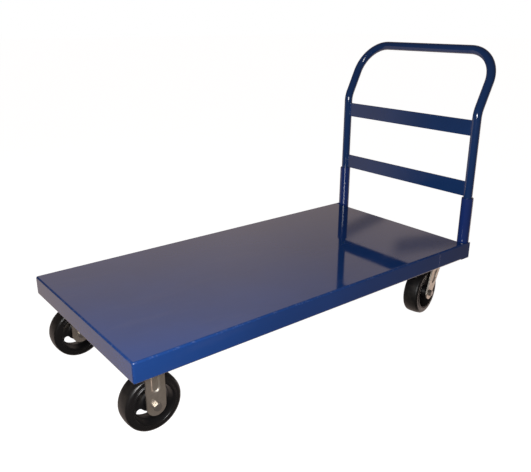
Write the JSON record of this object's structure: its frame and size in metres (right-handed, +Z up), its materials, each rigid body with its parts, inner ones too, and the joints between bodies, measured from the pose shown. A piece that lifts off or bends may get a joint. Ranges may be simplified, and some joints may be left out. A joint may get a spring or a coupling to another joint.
{
  "type": "platform cart",
  "caption": "Flat steel platform cart on two rigid and two swivel casters, with a lift-out tubular push handle standing in two pipe sockets.",
  "frame": {"origin": "on the floor, under the middle of the cart's overall length and width", "axes": "+X along the deck towards the handle, -Y the left side of someone who pushes the cart, +Z up"},
  "size_m": [1.3429, 0.6096, 0.8663],
  "materials": {
    "blue_paint": "gloss",
    "zinc_steel": "zinc plated",
    "bolt_steel": "zinc plated",
    "bearing_steel": "plain steel",
    "black_iron": "black painted",
    "black_rubber": "moulded rubber"
  },
  "bodies": {
    "chassis": {"deck_pan": "blue_paint", "front_caster_channel": "blue_paint", "rear_caster_channel": "blue_paint", "front_deck_stiffener": "blue_paint", "rear_deck_stiffener": "blue_paint", "left_handle_socket": "blue_paint", "right_handle_socket": "blue_paint", "front_left_rigid_fork": "zinc_steel", "front_left_axle_bolt": "bolt_steel", "front_left_axle_nut": "bolt_steel", "front_left_axle_bush": "zinc_steel", "front_left_plate_bolt_1": "bolt_steel", "front_left_plate_bolt_2": "bolt_steel", "front_left_plate_bolt_3": "bolt_steel", "front_left_plate_bolt_4": "bolt_steel", "front_right_rigid_fork": "zinc_steel", "front_right_axle_bolt": "bolt_steel", "front_right_axle_nut": "bolt_steel", "front_right_axle_bush": "zinc_steel", "front_right_plate_bolt_1": "bolt_steel", "front_right_plate_bolt_2": "bolt_steel", "front_right_plate_bolt_3": "bolt_steel", "front_right_plate_bolt_4": "bolt_steel", "rear_left_swivel_plate": "zinc_steel", "rear_left_kingpin": "bolt_steel", "rear_left_plate_bolt_1": "bolt_steel", "rear_left_plate_bolt_2": "bolt_steel", "rear_left_plate_bolt_3": "bolt_steel", "rear_left_plate_bolt_4": "bolt_steel", "rear_right_swivel_plate": "zinc_steel", "rear_right_kingpin": "bolt_steel", "rear_right_plate_bolt_1": "bolt_steel", "rear_right_plate_bolt_2": "bolt_steel", "rear_right_plate_bolt_3": "bolt_steel", "rear_right_plate_bolt_4": "bolt_steel"},
    "handle": {"handle_tube": "blue_paint", "lower_crossbar": "blue_paint", "upper_crossbar": "blue_paint"},
    "front_left_wheel": {"front_left_tyre": "black_rubber", "front_left_wheel_core": "black_iron", "front_left_roller_bearing": "bearing_steel"},
    "front_right_wheel": {"front_right_tyre": "black_rubber", "front_right_wheel_core": "black_iron", "front_right_roller_bearing": "bearing_steel"},
    "rear_left_fork": {"rear_left_swivel_fork": "zinc_steel", "rear_left_ball_ring": "bearing_steel", "rear_left_axle_bolt": "bolt_steel", "rear_left_axle_nut": "bolt_steel", "rear_left_axle_bush": "zinc_steel"},
    "rear_left_wheel": {"rear_left_tyre": "black_rubber", "rear_left_wheel_core": "black_iron", "rear_left_roller_bearing": "bearing_steel"},
    "rear_right_fork": {"rear_right_swivel_fork": "zinc_steel", "rear_right_ball_ring": "bearing_steel", "rear_right_axle_bolt": "bolt_steel", "rear_right_axle_nut": "bolt_steel", "rear_right_axle_bush": "zinc_steel"},
    "rear_right_wheel": {"rear_right_tyre": "black_rubber", "rear_right_wheel_core": "black_iron", "rear_right_roller_bearing": "bearing_steel"}
  },
  "joints": [
    {"name": "front_left_wheel_spin", "type": "hinge", "parent": "chassis", "child": "front_left_wheel", "pos_m": [-0.59615, -0.2252, 0.0762], "axis": [0, 1, 0], "continuous": true},
    {"name": "front_right_wheel_spin", "type": "hinge", "parent": "chassis", "child": "front_right_wheel", "pos_m": [-0.59615, 0.2252, 0.0762], "axis": [0, 1, 0], "continuous": true},
    {"name": "rear_left_swivel", "type": "hinge", "parent": "chassis", "child": "rear_left_fork", "pos_m": [0.47425, -0.2172, 0.165], "axis": [0, 0, 1], "continuous": true},
    {"name": "rear_left_wheel_spin", "type": "hinge", "parent": "rear_left_fork", "child": "rear_left_wheel", "pos_m": [0.43121, -0.22635, 0.0762], "axis": [-0.2079, 0.9781, 0], "continuous": true},
    {"name": "rear_right_swivel", "type": "hinge", "parent": "chassis", "child": "rear_right_fork", "pos_m": [0.47425, 0.2172, 0.165], "axis": [0, 0, 1], "continuous": true},
    {"name": "rear_right_wheel_spin", "type": "hinge", "parent": "rear_right_fork", "child": "rear_right_wheel", "pos_m": [0.43121, 0.20805, 0.0762], "axis": [-0.2079, 0.9781, 0], "continuous": true},
    {"name": "handle_lift", "type": "slide", "parent": "chassis", "child": "handle", "axis": [0, 0, 1], "range_m": [0, 0.25]}
  ]
}
